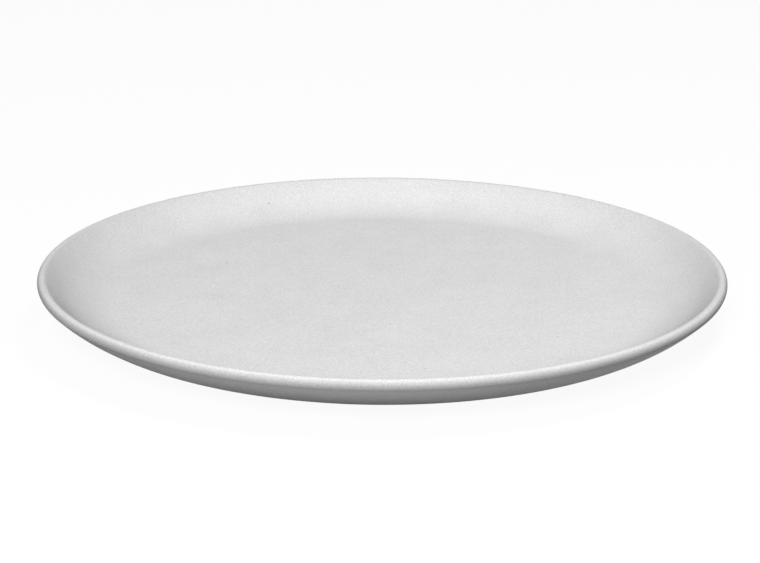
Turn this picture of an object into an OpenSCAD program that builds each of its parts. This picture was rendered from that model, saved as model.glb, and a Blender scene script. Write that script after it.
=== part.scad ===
// Coupe dinner plate in glazed stoneware.
// One turned clay body with a foot ring, a coat of matt glaze over the face, lip and back,
// and a second, separate coat of glaze inside the foot ring.
// The origin is the middle of the plate on the plane it stands on, with +Z up the axis.

/* [Plate] */
// Diameter over the glazed lip
plate_d = 270; // [235:1:305]
// Height from the standing face to the top of the lip
plate_h = 21.5; // [18:0.5:30]
// Thickness of the rounded lip, glaze included
lip_t = 4.5; // [3:0.1:7]

/* [Face] */
// Thickness of the base between the flat well and the hollow under it
base_t = 6.25; // [3:0.25:8]
// Slope of the inside wall where it reaches the lip, in degrees
face_slope = 42; // [28:0.5:48]
// Length of the straight stretch of the inside wall below the lip
wall_run = 6.5; // [1:0.5:10]

/* [Back] */
// Width of the level underside between the foot ring and the outside wall
heel_w = 6; // [2:0.25:12]
// Diameter of the foot ring over its outer side
foot_d = 180; // [140:1:200]
// Width of the foot ring from its outer to its inner side
foot_w = 7; // [5:0.25:14]
// Height of the foot ring below the level underside outside it
foot_h = 2; // [1.8:0.1:4]
// Height of the hollow inside the foot ring
recess_h = 3; // [1.8:0.1:4]
// Radius of the hollow corners where the foot ring meets the base
foot_fillet_r = 0.8; // [0.2:0.05:1]
// Radius of the rounded edges of the bare standing face
foot_edge_r = 0.5; // [0.1:0.05:0.7]

/* [Glaze] */
// Thickness of the fired glaze
glaze_t = 0.35; // [0.15:0.05:0.6]
// Height above the standing face at which the glaze stops
glaze_line_h = 0.9; // [0.75:0.05:1.1]

/* [Hidden] */
clay_colour = [0.66, 0.62, 0.56];
glaze_colour = [0.86, 0.86, 0.86];
base_glaze_colour = [0.83, 0.83, 0.83];
// Sides of each turned surface, and the largest turn between two points of a curve
$fn = 180;
curve_step = 3;

// The lip is a round bead, and the curves on both sides run into it without a corner
bead_r = lip_t / 2;
bead_x = plate_d / 2 - bead_r;
bead_z = plate_h - bead_r;

// Inside wall, from the level well up a curve and a straight slope to the bead
well_z = recess_h + base_t;
wall_top = [bead_x - bead_r * sin(face_slope), bead_z + bead_r * cos(face_slope)];
wall_foot = wall_top - wall_run * [cos(face_slope), sin(face_slope)];
face_curve_r = (wall_foot.y - well_z) / (1 - cos(face_slope));
well_r = wall_foot.x - face_curve_r * sin(face_slope);
face_centre = [well_r, well_z + face_curve_r];

// Outside wall, one curve that leaves the level underside and touches the bead from outside
foot_r = foot_d / 2;
foot_in_r = foot_r - foot_w;
heel_r = foot_r + heel_w;
back_run = bead_x - heel_r;
back_rise = bead_z - foot_h;
back_curve_r = (back_run ^ 2 + back_rise ^ 2 - bead_r ^ 2) / (2 * (back_rise - bead_r));
back_slope = atan2(back_run, back_curve_r - back_rise);
back_centre = [heel_r, foot_h + back_curve_r];

// Hollow corners on both sides of the foot ring
outer_corner = [foot_r + foot_fillet_r, foot_h - foot_fillet_r];
inner_corner = [foot_in_r - foot_fillet_r, recess_h - foot_fillet_r];

// Points of a curve about a centre, from one angle to another
function arc(centre, r, from, to) =
  let (steps = ceil(abs(to - from) / curve_step))
  [for (i = [0 : steps])
    let (a = from + (to - from) * i / steps)
    centre + r * [cos(a), sin(a)]];

// Half section of the glazed surface, from the axis over the lip to the foot ring's outer side.
// Inset 0 is the outside of the glaze, and the glaze's thickness gives the clay below it.
function coat_line(inset) = concat(
  [[0, well_z - inset]],
  arc(face_centre, face_curve_r + inset, -90, face_slope - 90),
  arc([bead_x, bead_z], bead_r - inset, face_slope + 90, back_slope - 90),
  arc(back_centre, back_curve_r - inset, back_slope - 90, -90),
  arc(outer_corner, foot_fillet_r + inset, 90, 180),
  [[foot_r - inset, glaze_line_h]]);

// Half section of the glazed base, from the foot ring's inner side to the axis
function base_line(inset) = concat(
  [[foot_in_r + inset, glaze_line_h]],
  arc(inner_corner, foot_fillet_r + inset, 0, 90),
  [[0, recess_h + inset]]);

// Half section of the bare foot ring, from its outer to its inner glaze line
foot_line = concat(
  arc([foot_r - glaze_t - foot_edge_r, foot_edge_r], foot_edge_r, 0, -90),
  arc([foot_in_r + glaze_t + foot_edge_r, foot_edge_r], foot_edge_r, -90, -180));

// A list of points the other way round
function back_to_front(p) = [for (i = [len(p) - 1 : -1 : 0]) p[i]];

// Fired clay, with the disc, the wall, the lip and the foot ring turned from one piece
module stoneware_body() {
  color(clay_colour)
  rotate_extrude()
  polygon(concat(coat_line(glaze_t), foot_line, base_line(glaze_t)));
}

// Matt glaze over the face, the lip and the back, down to the bare foot
module glaze_coat() {
  color(glaze_colour)
  rotate_extrude()
  polygon(concat(coat_line(0), back_to_front(coat_line(glaze_t))));
}

// Glaze inside the foot ring, which the bare foot parts from the coat outside it
module base_glaze() {
  color(base_glaze_colour)
  rotate_extrude()
  polygon(concat(base_line(0), back_to_front(base_line(glaze_t))));
}

stoneware_body();
glaze_coat();
base_glaze();
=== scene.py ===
# %% [markdown]
# # A coupe dinner plate in matt-glazed stoneware
# The plate is one turned piece of fired clay with two coats of glaze fused to it.
# The solids of the part come in first, as a fixed frame in metres, so that every piece made
# below lands where the real one is.

# %% Load the frame
import math

import bmesh
import bpy
from mathutils import Matrix, Vector, noise


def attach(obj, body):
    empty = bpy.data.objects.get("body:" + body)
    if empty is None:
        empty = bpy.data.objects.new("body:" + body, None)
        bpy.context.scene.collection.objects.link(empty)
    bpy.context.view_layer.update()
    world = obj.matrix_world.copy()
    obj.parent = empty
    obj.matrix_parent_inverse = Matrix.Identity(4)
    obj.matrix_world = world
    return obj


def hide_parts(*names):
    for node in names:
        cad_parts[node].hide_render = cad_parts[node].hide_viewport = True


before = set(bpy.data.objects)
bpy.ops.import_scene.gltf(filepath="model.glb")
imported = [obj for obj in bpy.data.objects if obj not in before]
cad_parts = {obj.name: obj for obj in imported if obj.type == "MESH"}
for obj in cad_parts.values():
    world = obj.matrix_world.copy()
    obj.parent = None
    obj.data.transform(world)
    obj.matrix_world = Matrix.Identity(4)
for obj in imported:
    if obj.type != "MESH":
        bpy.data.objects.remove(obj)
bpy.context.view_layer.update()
print("frame:", sorted(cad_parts))

# %% [markdown]
# ## The plate's section
# A potter gets this form by pressing a sheet of clay on a spinning mould with a shaped blade, so
# the whole plate is one section turned about its axis. The section could be drawn by hand as a
# curve, but then nothing would say how thick the wall is. Here it is worked out from the same few
# sizes that the solids have: a lip, a level well, a wall and a foot ring.

# %% Sizes of the plate, in metres
MM = 0.001
PLATE_R = 135 * MM
PLATE_H = 21.5 * MM
LIP_R = 2.25 * MM
BASE_T = 6.25 * MM
FACE_SLOPE = math.radians(42)
WALL_RUN = 6.5 * MM
FOOT_R = 90 * MM
FOOT_IN_R = 83 * MM
HEEL_R = 96 * MM
FOOT_H = 2 * MM
RECESS_H = 3 * MM
FOOT_FILLET = 0.8 * MM
FOOT_EDGE = 0.5 * MM
GLAZE_T = 0.35 * MM
GLAZE_LINE = 0.9 * MM
print("plate %.0f mm across, %.1f mm high" % (2 * PLATE_R / MM, PLATE_H / MM))

# %% [markdown]
# The lip is a round bead. Inside it a straight stretch runs down and bends into the level well, and
# outside it one curve leaves the bead and ends level with the underside. Both curves touch the
# bead without a corner, and that fixes their radii.

# %% Curves that follow from the sizes
LIP = Vector((PLATE_R - LIP_R, PLATE_H - LIP_R))
WELL_Z = RECESS_H + BASE_T
WALL_FOOT = LIP + LIP_R * Vector((-math.sin(FACE_SLOPE), math.cos(FACE_SLOPE)))
WALL_FOOT -= WALL_RUN * Vector((math.cos(FACE_SLOPE), math.sin(FACE_SLOPE)))
FACE_CURVE = (WALL_FOOT.y - WELL_Z) / (1 - math.cos(FACE_SLOPE))
WELL_R = WALL_FOOT.x - FACE_CURVE * math.sin(FACE_SLOPE)
BACK = LIP - Vector((HEEL_R, FOOT_H))
BACK_CURVE = (BACK.length_squared - LIP_R ** 2) / (2 * (BACK.y - LIP_R))
BACK_SLOPE = math.atan2(BACK.x, BACK_CURVE - BACK.y)
print("well %.1f mm across, %.2f mm deep" % (2 * WELL_R / MM, (PLATE_H - WELL_Z) / MM))
print("inside curve %.1f mm, outside curve %.1f mm" % (FACE_CURVE / MM, BACK_CURVE / MM))

# %% [markdown]
# Curves of the section are runs of points about a centre, and straight stretches get points too,
# because the glaze will be made a little uneven later and a long face can't bend in the middle.
# Where two stretches meet in one point, that point is kept once: a doubled ring would show as a
# crease, because smooth shading doesn't cross it.

# %% Points of a section
QUARTER = math.pi / 2
FLAT_STEP = 3 * MM
SAME_PLACE = 0.001 * MM


def turn(centre, radius, start, end, step):
    """Points of a curve about a centre, no further apart than step."""
    count = max(3, math.ceil(abs(end - start) * radius / step))
    angles = [start + (end - start) * i / count for i in range(count + 1)]
    return [(centre[0] + radius * math.cos(a), centre[1] + radius * math.sin(a)) for a in angles]


def run(start, end, step):
    """Points of a straight stretch, without its two ends."""
    count = max(1, math.ceil(math.dist(start, end) / step))
    return [tuple(a + (b - a) * i / count for a, b in zip(start, end)) for i in range(1, count)]


def join(*stretches):
    """One line through all the stretches, with straight runs filled in between them."""
    line = list(stretches[0])
    for stretch in stretches[1:]:
        if math.dist(line[-1], stretch[0]) < SAME_PLACE:
            line.pop()
        line += run(line[-1], stretch[0], FLAT_STEP) + list(stretch)
    return line


# %% [markdown]
# The section has two lines: one from the well over the lip to the foot ring, and one under the
# base. The same line, drawn a glaze's thickness further in, is the surface of the clay.

# %% The two lines of the plate's section
FIRST_RING = 1 * MM
WIDE_STEP = 1.5 * MM
LIP_STEP = 0.18 * MM
CORNER_STEP = 0.2 * MM


def coat_line(inset):
    """From the middle of the well over the lip to the foot ring's outer side."""
    well = WELL_Z - inset
    face_centre = (WELL_R, WELL_Z + FACE_CURVE)
    back_centre = (HEEL_R, FOOT_H + BACK_CURVE)
    corner_centre = (FOOT_R + FOOT_FILLET, FOOT_H - FOOT_FILLET)
    return join(
        [(0, well), (FIRST_RING, well)],
        turn(face_centre, FACE_CURVE + inset, -QUARTER, FACE_SLOPE - QUARTER, WIDE_STEP),
        turn(LIP, LIP_R - inset, FACE_SLOPE + QUARTER, BACK_SLOPE - QUARTER, LIP_STEP),
        turn(back_centre, BACK_CURVE - inset, BACK_SLOPE - QUARTER, -QUARTER, WIDE_STEP),
        turn(corner_centre, FOOT_FILLET + inset, QUARTER, 2 * QUARTER, CORNER_STEP))


def base_line(inset):
    """From the foot ring's inner side to the middle of the hollow under the plate."""
    roof = RECESS_H + inset
    corner_centre = (FOOT_IN_R - FOOT_FILLET, RECESS_H - FOOT_FILLET)
    return join(
        turn(corner_centre, FOOT_FILLET + inset, 0, QUARTER, CORNER_STEP),
        [(FIRST_RING, roof), (0, roof)])


print("coat: %d points, base: %d points" % (len(coat_line(0)), len(base_line(0))))

# %% [markdown]
# ## Spinning a section into a piece
# Blender can spin an edge with its Screw modifier, but a small function that writes the rings
# itself gives each point its angle, and that is needed where the glaze's lower edge wanders.
# Points on the axis become one vertex, so the middle of the plate has no doubled faces.

# %% Rings of points and the faces between them
TURNS = 288


def ring_points(line, shape):
    """Vertices of all rings, and each ring's vertex numbers."""
    verts = []
    rings = []
    for i, (r, z) in enumerate(line):
        count = 1 if r == 0 else TURNS
        rings.append(range(len(verts), len(verts) + count))
        verts += [shape(r, z, 2 * math.pi * k / TURNS, i) for k in range(count)]
    return verts, rings


def ring_faces(rings):
    """Faces from each ring to the next."""
    faces = []
    for a, b in zip(rings, rings[1:]):
        for k in range(TURNS):
            n = (k + 1) % TURNS
            corners = [a[k % len(a)], a[n % len(a)], b[n % len(b)], b[k % len(b)]]
            faces.append(list(dict.fromkeys(corners)))
    return faces


print("%d points to a ring" % TURNS)

# %% [markdown]
# Each section starts and ends on the axis, so its rings close by themselves into one whole skin. All
# faces are then turned outwards, because the bump and the painted shade of the glaze go by the way a
# spot faces.

# %% Spin a section about the axis


def on_ring(r, z, angle):
    """The point at this radius, height and angle about the axis."""
    return (r * math.cos(angle), r * math.sin(angle), z)


def spin(name, line, shape):
    """A closed mesh from a section line. shape(radius, height, angle, index) gives each point."""
    verts, rings = ring_points(line, shape)
    faces = ring_faces(rings)
    mesh = bpy.data.meshes.new(name)
    mesh.from_pydata(verts, [], faces)
    mesh.validate()
    shell = bmesh.new()
    shell.from_mesh(mesh)
    bmesh.ops.recalc_face_normals(shell, faces=shell.faces)
    shell.to_mesh(mesh)
    shell.free()
    mesh.shade_smooth()
    piece = bpy.data.objects.new(name, mesh)
    bpy.context.scene.collection.objects.link(piece)
    print("%s: %d vertices, %d faces" % (name, len(verts), len(faces)))
    return piece


# %% [markdown]
# ## The coat of glaze
# Glaze is poured or sprayed on as a slurry and melts in the kiln, so its skin is never quite
# even. Here the outer skin dips in by a few hundredths of a millimetre in soft patches, which
# breaks up the light on the lip. The lower edge by the foot is wiped with a sponge, so it
# wanders a little and ends in a small rounded bead.

# %% How the glaze departs from an even coat
PATCH_SIZE = 22 * MM
PATCH_DIP = 0.05 * MM
EDGE_WANDER = 0.12 * MM
SLOW_WAVES = 5
QUICK_WAVES = 17
SLOW_SHARE = 0.6


def skin_dip(r, z, angle):
    """How far the skin of the glaze lies below its even thickness here."""
    where = Vector(on_ring(r, z, angle)) / PATCH_SIZE
    return PATCH_DIP * (0.5 + 0.5 * noise.noise(where))


def edge_height(angle, seed):
    """Rise and fall of the wiped edge of the glaze round the foot ring."""
    ring = Vector((math.cos(angle), math.sin(angle), seed))
    slow = noise.noise(ring * SLOW_WAVES)
    quick = noise.noise(ring * QUICK_WAVES)
    return EDGE_WANDER * (SLOW_SHARE * slow + (1 - SLOW_SHARE) * quick)


def line_normals(line):
    """Directions at right angles to a section line, to the left of its way."""
    normals = []
    for i in range(len(line)):
        before = Vector(line[max(0, i - 1)])
        after = Vector(line[min(len(line) - 1, i + 1)])
        way = (after - before).normalized()
        normals.append((-way.y, way.x))
    return normals


print("dip in the middle of the well: %.3f mm" % (skin_dip(0, WELL_Z, 0) / MM))

# %% [markdown]
# A coat is one closed section: its skin, the rounded lower edge, and back along the clay under it.
# Only the skin dips and only the edge wanders, so the coat stays on the clay everywhere.

# %% The glaze over the face, lip and back
EDGE_ROUND = 0.18 * MM
EDGE_STEP = 0.06 * MM
COAT_SEED = 1.5


def coat_piece(name, outside, edge, inside, side, seed):
    """A coat of glaze. side is 1 where the left of the outside line is air, and -1 where it is clay."""
    normals = line_normals(outside)

    def shape(r, z, angle, i):
        if i < len(outside):
            dip = side * skin_dip(r, z, angle)
            r -= dip * normals[i][0]
            z -= dip * normals[i][1]
        elif i < len(outside) + len(edge):
            z += edge_height(angle, seed)
        return on_ring(r, z, angle)

    return spin(name, outside + edge + inside, shape)


coat_edge_centre = (FOOT_R - EDGE_ROUND, GLAZE_LINE + EDGE_ROUND)
coat_edge = turn(coat_edge_centre, EDGE_ROUND, 0, -QUARTER, EDGE_STEP)
coat_edge.append((FOOT_R - GLAZE_T, GLAZE_LINE))
coat_inside = coat_line(GLAZE_T)[::-1]
glaze_coat = coat_piece("glaze_coat_skin", coat_line(0), coat_edge, coat_inside, 1, COAT_SEED)
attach(glaze_coat, "root")
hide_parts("glaze_coat")

# %% [markdown]
# ## The glaze inside the foot ring
# The hollow under the plate is glazed as well, and the bare foot keeps this coat apart from the
# other one. It is made in the same way, from the hollow's own line.

# %% The glaze under the base
BASE_SEED = 7.5
base_edge_centre = (FOOT_IN_R + EDGE_ROUND, GLAZE_LINE + EDGE_ROUND)
base_edge = turn(base_edge_centre, EDGE_ROUND, 2 * QUARTER, 3 * QUARTER, EDGE_STEP)
base_edge.append((FOOT_IN_R + GLAZE_T, GLAZE_LINE))
base_outside = base_line(0)[::-1]
base_inside = base_line(GLAZE_T)
base_glaze = coat_piece("base_glaze_skin", base_outside, base_edge, base_inside, -1, BASE_SEED)
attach(base_glaze, "root")
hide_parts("base_glaze")

# %% [markdown]
# ## The clay body
# Only the foot ring shows bare clay, below the two lines where the glaze was wiped off, but the
# body is made whole, so that the model can be cut or printed. Its foot was turned on the wheel
# and rubbed smooth by hand, which leaves rounded edges.

# %% The stoneware body
FOOT_STEP = 0.1 * MM
foot_outer = (FOOT_R - GLAZE_T - FOOT_EDGE, FOOT_EDGE)
foot_inner = (FOOT_IN_R + GLAZE_T + FOOT_EDGE, FOOT_EDGE)
foot_line = join(
    turn(foot_outer, FOOT_EDGE, 0, -QUARTER, FOOT_STEP),
    turn(foot_inner, FOOT_EDGE, -QUARTER, -2 * QUARTER, FOOT_STEP))
body_line = coat_line(GLAZE_T) + foot_line + base_line(GLAZE_T)
body = spin("stoneware_body_turned", body_line, lambda r, z, angle, i: on_ring(r, z, angle))
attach(body, "root")
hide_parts("stoneware_body")

# %% [markdown]
# ## Fine sand in the glaze
# Close up, a matt stoneware glaze is full of tiny crystals: a soft sandy mottle, a little lighter
# and darker from grain to grain, with a few small iron specks that bleed through from the clay.
# The clay shows the same sand, only coarser. So the effect is one node group, and each material
# sets its own grain and strength.

# %% A node group for the sandy mottle
SAND_INPUTS = (
    ("Grains per Metre", 1500.0), ("Patches per Metre", 60.0), ("Specks per Metre", 60.0),
    ("Speck Size", 0.03), ("Speck Share", 0.2))
GRAIN_LOOK = {"Detail": 2.0, "Roughness": 0.65}
PATCH_LOOK = {"Detail": 3.0, "Roughness": 0.55}


def add(tree, kind, **settings):
    """A new node with its settings, and its plain input values by name or number."""
    node = tree.nodes.new(kind)
    for key, value in settings.pop("inputs", {}).items():
        node.inputs[key].default_value = value
    for key, value in settings.items():
        setattr(node, key, value)
    return node


sandy = bpy.data.node_groups.new("sandy_mottle", "ShaderNodeTree")
for socket_name, start_value in SAND_INPUTS:
    socket = sandy.interface.new_socket(socket_name, in_out="INPUT", socket_type="NodeSocketFloat")
    socket.default_value = start_value
for socket_name in ("Grain", "Patch", "Specks"):
    sandy.interface.new_socket(socket_name, in_out="OUTPUT", socket_type="NodeSocketFloat")
group_in = add(sandy, "NodeGroupInput")
group_out = add(sandy, "NodeGroupOutput")
sand_place = add(sandy, "ShaderNodeTexCoord")
grain = add(sandy, "ShaderNodeTexNoise", inputs=GRAIN_LOOK)
patch = add(sandy, "ShaderNodeTexNoise", inputs=PATCH_LOOK)
cells = add(sandy, "ShaderNodeTexVoronoi", feature="F1")
for texture, rate in ((grain, "Grains"), (patch, "Patches"), (cells, "Specks")):
    sandy.links.new(sand_place.outputs["Object"], texture.inputs["Vector"])
    sandy.links.new(group_in.outputs[rate + " per Metre"], texture.inputs["Scale"])
sandy.links.new(grain.outputs["Fac"], group_out.inputs["Grain"])
sandy.links.new(patch.outputs["Fac"], group_out.inputs["Patch"])
print("sandy_mottle: grain and patches, %d nodes" % len(sandy.nodes))

# %% [markdown]
# A speck is the middle of a Voronoi cell: the distance from the cell's point fades it out, and the
# cell's own random colour decides whether this cell has a speck at all, and how large it is.

# %% Specks in the mottle
FADE_OUT = {"To Min": 1.0, "To Max": 0.0}
chance = add(sandy, "ShaderNodeSeparateColor")
has_speck = add(sandy, "ShaderNodeMath", operation="LESS_THAN")
size_here = add(sandy, "ShaderNodeMath", operation="MULTIPLY")
fade = add(sandy, "ShaderNodeMapRange", interpolation_type="SMOOTHSTEP", inputs=FADE_OUT)
speck = add(sandy, "ShaderNodeMath", operation="MULTIPLY")
sandy.links.new(cells.outputs["Color"], chance.inputs["Color"])
sandy.links.new(chance.outputs["Red"], has_speck.inputs[0])
sandy.links.new(group_in.outputs["Speck Share"], has_speck.inputs[1])
sandy.links.new(chance.outputs["Green"], size_here.inputs[0])
sandy.links.new(group_in.outputs["Speck Size"], size_here.inputs[1])
sandy.links.new(cells.outputs["Distance"], fade.inputs["Value"])
sandy.links.new(size_here.outputs[0], fade.inputs["From Max"])
sandy.links.new(fade.outputs["Result"], speck.inputs[0])
sandy.links.new(has_speck.outputs[0], speck.inputs[1])
sandy.links.new(speck.outputs[0], group_out.inputs["Specks"])
print("sandy_mottle: with specks, %d nodes" % len(sandy.nodes))

# %% [markdown]
# ## The finishes
# Each finish starts from a ground colour. Grain and patches swing it a little lighter or darker
# through a colour ramp, specks darken it, and the same grain drives a very low bump, so that light
# catches the surface as it does on a fine eggshell. The patches also make it more or less rough.

# %% Make a sandy ceramic finish
MATT_SHINE = 0.22
PATCH_SHARE = 0.14
DARK_AT = 0.36
LIGHT_AT = 0.64


def sandy_finish(name, dark, light, speck_colour, rough, bump_mm, mottle):
    """A Principled material on the sandy mottle. mottle holds the group's own values."""
    material = bpy.data.materials.new(name)
    material.use_nodes = True
    tree = material.node_tree
    shader = tree.nodes["Principled BSDF"]
    shader.inputs["Specular IOR Level"].default_value = MATT_SHINE
    sand = add(tree, "ShaderNodeGroup", node_tree=sandy)
    for key, value in mottle.items():
        sand.inputs[key].default_value = value
    mix = add(tree, "ShaderNodeMix", data_type="FLOAT", inputs={"Factor": PATCH_SHARE})
    tone = add(tree, "ShaderNodeValToRGB")
    ends = tone.color_ramp.elements
    for end, position, colour in zip(ends, (DARK_AT, LIGHT_AT), (dark, light)):
        end.position = position
        end.color = (*colour, 1)
    specks = add(tree, "ShaderNodeMix", data_type="RGBA")
    specks.inputs["B"].default_value = (*speck_colour, 1)
    gloss = add(tree, "ShaderNodeMapRange", inputs={"To Min": rough[0], "To Max": rough[1]})
    bump = add(tree, "ShaderNodeBump", inputs={"Strength": 1.0, "Distance": bump_mm * MM})
    links = tree.links
    links.new(sand.outputs["Grain"], mix.inputs["A"])
    links.new(sand.outputs["Patch"], mix.inputs["B"])
    links.new(mix.outputs["Result"], tone.inputs["Fac"])
    links.new(sand.outputs["Specks"], specks.inputs["Factor"])
    links.new(tone.outputs["Color"], specks.inputs["A"])
    links.new(specks.outputs["Result"], shader.inputs["Base Color"])
    links.new(sand.outputs["Patch"], gloss.inputs["Value"])
    links.new(gloss.outputs["Result"], shader.inputs["Roughness"])
    links.new(sand.outputs["Grain"], bump.inputs["Height"])
    links.new(bump.outputs["Normal"], shader.inputs["Normal"])
    print("%s: %d nodes" % (name, len(tree.nodes)))
    return material


# %% [markdown]
# Painted shade and a painted highlight: the glaze's colour is left full in the well and nearly full on
# the crest of the lip, which stands out as a light band. It is made darker on the wall, over the outer
# edge of the lip and low on the back, where shade falls. Painted vertex colours could hold this, but
# two ramps are easier to read: one over the distance from the axis for the face, and one over the
# height for the back. Each stop is a place in millimetres and a grey.

# %% Greys of the painted shade and highlight on the glaze
FACE_PAINTED_SHADE = (
    (88, 1.0), (105, 0.965), (114, 0.905), (122, 0.86),
    (131.5, 0.82), (132.6, 0.95), (133.9, 0.95), (134.9, 0.63))
BACK_PAINTED_SHADE = (
    (6, 0.78), (8.2, 0.9), (9.4, 0.98), (11.5, 1.0),
    (14, 0.95), (16.5, 0.87), (18.4, 0.56), (19.8, 0.56))
print("face: %d stops, back: %d stops" % (len(FACE_PAINTED_SHADE), len(BACK_PAINTED_SHADE)))


def grey_ramp(tree, stops, span):
    """A ramp of greys over a span in metres. Gives the socket to feed and the colour to use."""
    ramp = add(tree, "ShaderNodeValToRGB")
    points = ramp.color_ramp.elements
    while len(points) < len(stops):
        points.new(1.0)
    for point, (place, grey) in zip(points, stops):
        point.position = place * MM / span
        point.color = (grey, grey, grey, 1)
    reach = add(tree, "ShaderNodeMapRange", inputs={"From Max": span})
    tree.links.new(reach.outputs["Result"], ramp.inputs["Fac"])
    return reach.inputs["Value"], ramp.outputs["Color"]


# %% [markdown]
# Which of the two ramps counts follows from the way a spot faces: the face's where it looks up, the
# back's where it looks down, and a mix of both at the outermost edge of the lip.

# %% Paint shade into the glaze on the wall, the lip's edge and low on the back
TURN_OVER = 0.3
LEVEL_ONLY = (1, 1, 0)


def paint_shade_on_slopes(material):
    """Puts painted shade, darker on the wall, the lip's edge and low on the back, between a finish's
    colour and its shader.
    """
    tree = material.node_tree
    links = tree.links
    ground = tree.nodes["Principled BSDF"].inputs["Base Color"]
    colour = ground.links[0].from_socket
    place = add(tree, "ShaderNodeTexCoord")
    spot = add(tree, "ShaderNodeSeparateXYZ")
    facing = add(tree, "ShaderNodeSeparateXYZ")
    level = add(tree, "ShaderNodeVectorMath", operation="MULTIPLY", inputs={1: LEVEL_ONLY})
    radius = add(tree, "ShaderNodeVectorMath", operation="LENGTH")
    face_place, face_grey = grey_ramp(tree, FACE_PAINTED_SHADE, PLATE_R)
    back_place, back_grey = grey_ramp(tree, BACK_PAINTED_SHADE, PLATE_H)
    over = {"From Min": -TURN_OVER, "From Max": TURN_OVER}
    upward = add(tree, "ShaderNodeMapRange", inputs=over)
    here = add(tree, "ShaderNodeMix", data_type="RGBA")
    shaded = add(tree, "ShaderNodeMix", data_type="RGBA", blend_type="MULTIPLY")
    shaded.inputs["Factor"].default_value = 1.0
    links.new(place.outputs["Object"], spot.inputs[0])
    links.new(place.outputs["Object"], level.inputs[0])
    links.new(level.outputs["Vector"], radius.inputs[0])
    links.new(radius.outputs["Value"], face_place)
    links.new(spot.outputs["Z"], back_place)
    links.new(place.outputs["Normal"], facing.inputs[0])
    links.new(facing.outputs["Z"], upward.inputs["Value"])
    links.new(upward.outputs["Result"], here.inputs["Factor"])
    links.new(back_grey, here.inputs["A"])
    links.new(face_grey, here.inputs["B"])
    links.new(colour, shaded.inputs["A"])
    links.new(here.outputs["Result"], shaded.inputs["B"])
    links.new(shaded.outputs["Result"], ground)
    # The darker greys are painted shade, not thin glaze.
    print("%s: thinner on the wall, the lip's edge and low on the back" % material.name)


# %% [markdown]
# ## Three finishes from one recipe
# The glaze of the face and back is the finest. The glaze under the base, where nobody looks, is
# painted a darker grey, as shade under the plate, and is a little coarser. The bare clay of the foot is
# warm, sandy and full of specks.

# %% Give each piece its finish
IRON_SPECK = (0.32, 0.31, 0.3)
CLAY_SPECK = (0.16, 0.12, 0.09)
glaze_finish = sandy_finish(
    "matt_glaze_finish", dark=(0.635, 0.635, 0.635), light=(0.805, 0.805, 0.805),
    speck_colour=IRON_SPECK, rough=(0.64, 0.78), bump_mm=0.0035,
    mottle={"Grains per Metre": 1800.0, "Patches per Metre": 70.0, "Specks per Metre": 140.0,
            "Speck Size": 0.11, "Speck Share": 0.45})
# The face and back glaze gets painted shade on top of its own colour.
paint_shade_on_slopes(glaze_finish)
glaze_coat.data.materials.append(glaze_finish)
# Painted shade: this glaze's grey is set darker than the face glaze, for the shade under the plate.
shaded_base_finish = sandy_finish(
    "base_glaze_shaded_finish", dark=(0.43, 0.43, 0.425), light=(0.56, 0.56, 0.555),
    speck_colour=IRON_SPECK, rough=(0.62, 0.78), bump_mm=0.008,
    mottle={"Grains per Metre": 1200.0, "Patches per Metre": 50.0, "Specks per Metre": 140.0,
            "Speck Size": 0.11, "Speck Share": 0.3})
base_glaze.data.materials.append(shaded_base_finish)
clay_finish = sandy_finish(
    "bare_clay_finish", dark=(0.4, 0.36, 0.31), light=(0.58, 0.53, 0.46),
    speck_colour=CLAY_SPECK, rough=(0.8, 0.95), bump_mm=0.03,
    mottle={"Grains per Metre": 900.0, "Patches per Metre": 120.0, "Specks per Metre": 260.0,
            "Speck Size": 0.16, "Speck Share": 0.35})
body.data.materials.append(clay_finish)

# %% [markdown]
# ## The floor and the backdrop
# In a product picture the plate stands on white. A white floor would also light the underside of
# the wall from all around and flatten it. So the floor shows nearly white, straight or mirrored,
# but gives light back only as a pale round sheet in a dark room would: little from right under
# the plate, most from a ring around it, and next to nothing from further away.

# %% Place the floor and the backdrop
FLOOR_SIDE = 17.5
BACKDROP_R = 7.0
BACKDROP_H = 1.5
BACKDROP_SIDES = 96
bpy.ops.mesh.primitive_plane_add(size=FLOOR_SIDE, location=(0, 0, 0))
floor = bpy.context.object
floor.name = "studio_floor"
bpy.ops.mesh.primitive_cylinder_add(
    vertices=BACKDROP_SIDES, radius=BACKDROP_R, depth=BACKDROP_H, end_fill_type="NOTHING",
    location=(0, 0, BACKDROP_H / 2))
backdrop = bpy.context.object
backdrop.name = "studio_backdrop"
print("floor %.1f m wide, backdrop %.1f m away" % (FLOOR_SIDE, BACKDROP_R))

# %% [markdown]
# The Light Path node tells a ray that shows a surface from one that only carries light. A small
# share of real paint is left in what shows, and that share takes the plate's soft shadow.

# %% White to look at, dim to bounce
FLOOR_SPAN = 0.3
FLOOR_TONE = ((120, 0.04), (145, 0.375), (185, 0.375), (260, 0.06))
PAPER = (0.95, 0.95, 0.95, 1)
WHITE = (1, 1, 1, 1)
GLOW_SHARE = 0.94


def shown_not_lit(tree):
    """1 for a ray that shows this surface, straight or mirrored, and 0 for one that carries light."""
    path = add(tree, "ShaderNodeLightPath")
    mirrored = add(tree, "ShaderNodeMath", operation="MAXIMUM")
    shown = add(tree, "ShaderNodeMath", operation="MAXIMUM")
    tree.links.new(path.outputs["Is Glossy Ray"], mirrored.inputs[0])
    tree.links.new(path.outputs["Is Transmission Ray"], mirrored.inputs[1])
    tree.links.new(path.outputs["Is Camera Ray"], shown.inputs[0])
    tree.links.new(mirrored.outputs[0], shown.inputs[1])
    return shown.outputs[0]


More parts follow.
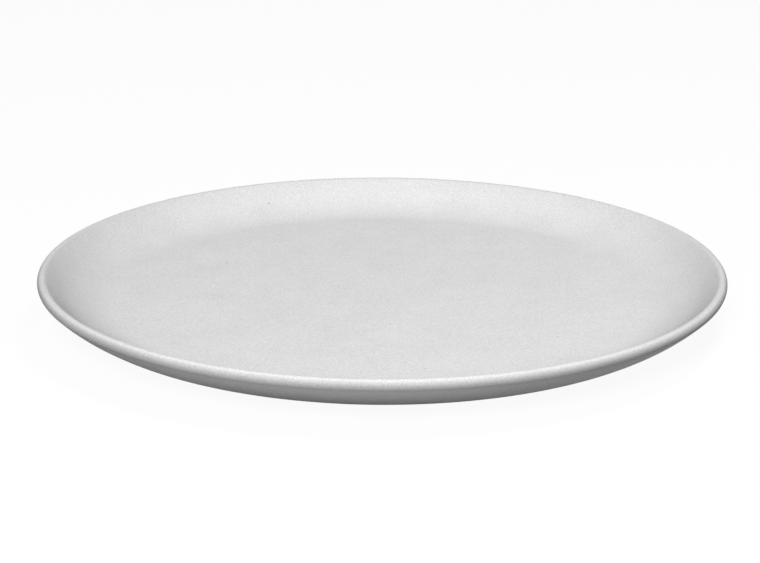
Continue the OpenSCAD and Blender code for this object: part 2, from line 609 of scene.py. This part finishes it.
floor_finish = bpy.data.materials.new("studio_floor_finish")
floor_finish.use_nodes = True
tree = floor_finish.node_tree
tree.nodes.clear()
floor_spot = add(tree, "ShaderNodeTexCoord")
from_axis = add(tree, "ShaderNodeVectorMath", operation="LENGTH")
floor_place, floor_grey = grey_ramp(tree, FLOOR_TONE, FLOOR_SPAN)
bounce = add(tree, "ShaderNodeBsdfDiffuse")
paint = add(tree, "ShaderNodeBsdfDiffuse", inputs={"Color": PAPER})
glow = add(tree, "ShaderNodeEmission", inputs={"Color": WHITE, "Strength": 1.0})
shown = add(tree, "ShaderNodeMixShader", inputs={0: GLOW_SHARE})
pick = add(tree, "ShaderNodeMixShader")
surface = add(tree, "ShaderNodeOutputMaterial")
tree.links.new(floor_spot.outputs["Object"], from_axis.inputs[0])
tree.links.new(from_axis.outputs["Value"], floor_place)
tree.links.new(floor_grey, bounce.inputs["Color"])
tree.links.new(paint.outputs[0], shown.inputs[1])
tree.links.new(glow.outputs[0], shown.inputs[2])
tree.links.new(shown_not_lit(tree), pick.inputs[0])
tree.links.new(bounce.outputs[0], pick.inputs[1])
tree.links.new(shown.outputs[0], pick.inputs[2])
tree.links.new(pick.outputs[0], surface.inputs["Surface"])
for stage_piece in (floor, backdrop):
    stage_piece.data.materials.append(floor_finish)
print("studio_floor_finish: %d nodes" % len(tree.nodes))

# %% [markdown]
# ## The light
# One large soft light stands in front, a little to the left. It lies low enough to make the far
# wall the brightest part of the face. A second, closer one hangs above on the right and fills the
# level well and the near wall. Both are discs, because a disc leaves no straight edges in a glaze.

# %% Two soft lights and a dim room
AIM = Vector((0, 0, 0.01))
LIGHT_SPREAD = 0.3
ROOM_GLOW = 0.01


def soft_light(name, side, height, distance, watts):
    """A round light that faces the plate, at angles in degrees to the right and up from the front."""
    turned = math.radians(side)
    raised = math.radians(height)
    level = math.cos(raised)
    away = Vector((math.sin(turned) * level, -math.cos(turned) * level, math.sin(raised)))
    lamp = bpy.data.lights.new(name, "AREA")
    lamp.shape = "DISK"
    lamp.size = LIGHT_SPREAD * distance
    lamp.energy = watts
    holder = bpy.data.objects.new(name, lamp)
    holder.location = AIM + distance * away
    holder.rotation_euler = away.to_track_quat("Z", "Y").to_euler()
    bpy.context.scene.collection.objects.link(holder)
    print("%s: %.2f m across, %.1f W" % (name, lamp.size, watts))


soft_light("front_light", side=-9, height=33, distance=2.5, watts=67.5)
soft_light("top_light", side=75, height=74, distance=0.9, watts=3.4)
world = bpy.data.worlds.new("studio_room")
bpy.context.scene.world = world
world.use_nodes = True
dim = world.node_tree.nodes["Background"]
dim.inputs["Color"].default_value = WHITE
dim.inputs["Strength"].default_value = ROOM_GLOW
bpy.context.scene.view_settings.view_transform = "Standard"

# %% [markdown]
# ## The camera
# The rim of a round plate is an ellipse in a picture, and how flat that ellipse is tells how high
# the camera stood: about 17 degrees. The camera looks at the middle of the lip's ring from a metre
# away with a long lens, so the near and far halves of the rim keep the picture's proportions.

# %% Where the camera looks
IMAGE = (760, 563)
EYE_DISTANCE = 1.0
EYE_HEIGHT = math.radians(17.2)
FOCAL = 2537
RING_AT = (382.2, 271.0)
ROLL = math.radians(0.22)

ring_middle = Vector((0, 0, LIP.y))
eye = ring_middle + EYE_DISTANCE * Vector((0, -math.cos(EYE_HEIGHT), math.sin(EYE_HEIGHT)))
forward = (ring_middle - eye).normalized()
right = Vector((1, 0, 0))
up = right.cross(forward)
pitch = math.atan((RING_AT[1] - IMAGE[1] / 2) / FOCAL)
forward = forward * math.cos(pitch) + up * math.sin(pitch)
up = right.cross(forward)
yaw = math.atan((RING_AT[0] - IMAGE[0] / 2) / FOCAL)
forward = forward * math.cos(yaw) - right * math.sin(yaw)
level_right = forward.cross(up).normalized()
right = level_right * math.cos(ROLL) + up * math.sin(ROLL)
up = up * math.cos(ROLL) - level_right * math.sin(ROLL)
print("looks down by %.1f degrees" % math.degrees(math.asin(-forward.z)))

# %% [markdown]
# Blender's camera looks along its own -Z with +Y up, so the three directions become the columns of
# its matrix. The lens follows from the focal length in pixels and the width of the sensor.

# %% Place the camera
SENSOR_MM = 36
lens = bpy.data.cameras.new("picture_camera")
lens.sensor_width = SENSOR_MM
lens.lens = SENSOR_MM * FOCAL / IMAGE[0]
camera = bpy.data.objects.new("picture_camera", lens)
camera.matrix_world = Matrix.Translation(eye) @ Matrix((right, up, -forward)).transposed().to_4x4()
bpy.context.scene.collection.objects.link(camera)
bpy.context.scene.camera = camera
print("camera at", [round(v, 3) for v in eye], "lens %.1f mm" % lens.lens)
